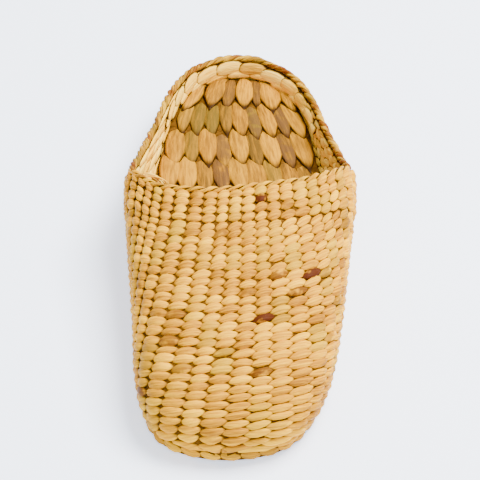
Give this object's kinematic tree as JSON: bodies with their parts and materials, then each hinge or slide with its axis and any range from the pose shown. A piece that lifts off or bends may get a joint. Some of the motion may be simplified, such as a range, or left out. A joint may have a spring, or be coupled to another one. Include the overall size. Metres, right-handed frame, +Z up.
{
  "type": "woven slipper",
  "caption": "Left-foot woven mule slipper of twined plant stalk, closed at the toe and open at the heel, with a leaf-twined insole and a twisted rope rim.",
  "frame": {"origin": "centre of the footprint box on the floor", "axes": "+Z up, toe towards -Y, heel towards +Y, inner side of the foot towards -X"},
  "size_m": [0.1076, 0.2705, 0.0568],
  "materials": {
    "sole_mat": "dry twined plant stalk, matt",
    "insole_leaf": "flat split stalk with a soft satin gloss",
    "wall_straw": "twined dry stalk, straw yellow, soft satin gloss",
    "edge_braid": "thin twisted stalk, satin",
    "pale_strand": "pale flat stalk, satin"
  },
  "bodies": {
    "root": {"outsole": "sole_mat", "insole": "insole_leaf", "upper": "wall_straw", "throat_braid": "edge_braid", "rim_braid": "edge_braid", "heel_band": "pale_strand"}
  },
  "joints": []
}
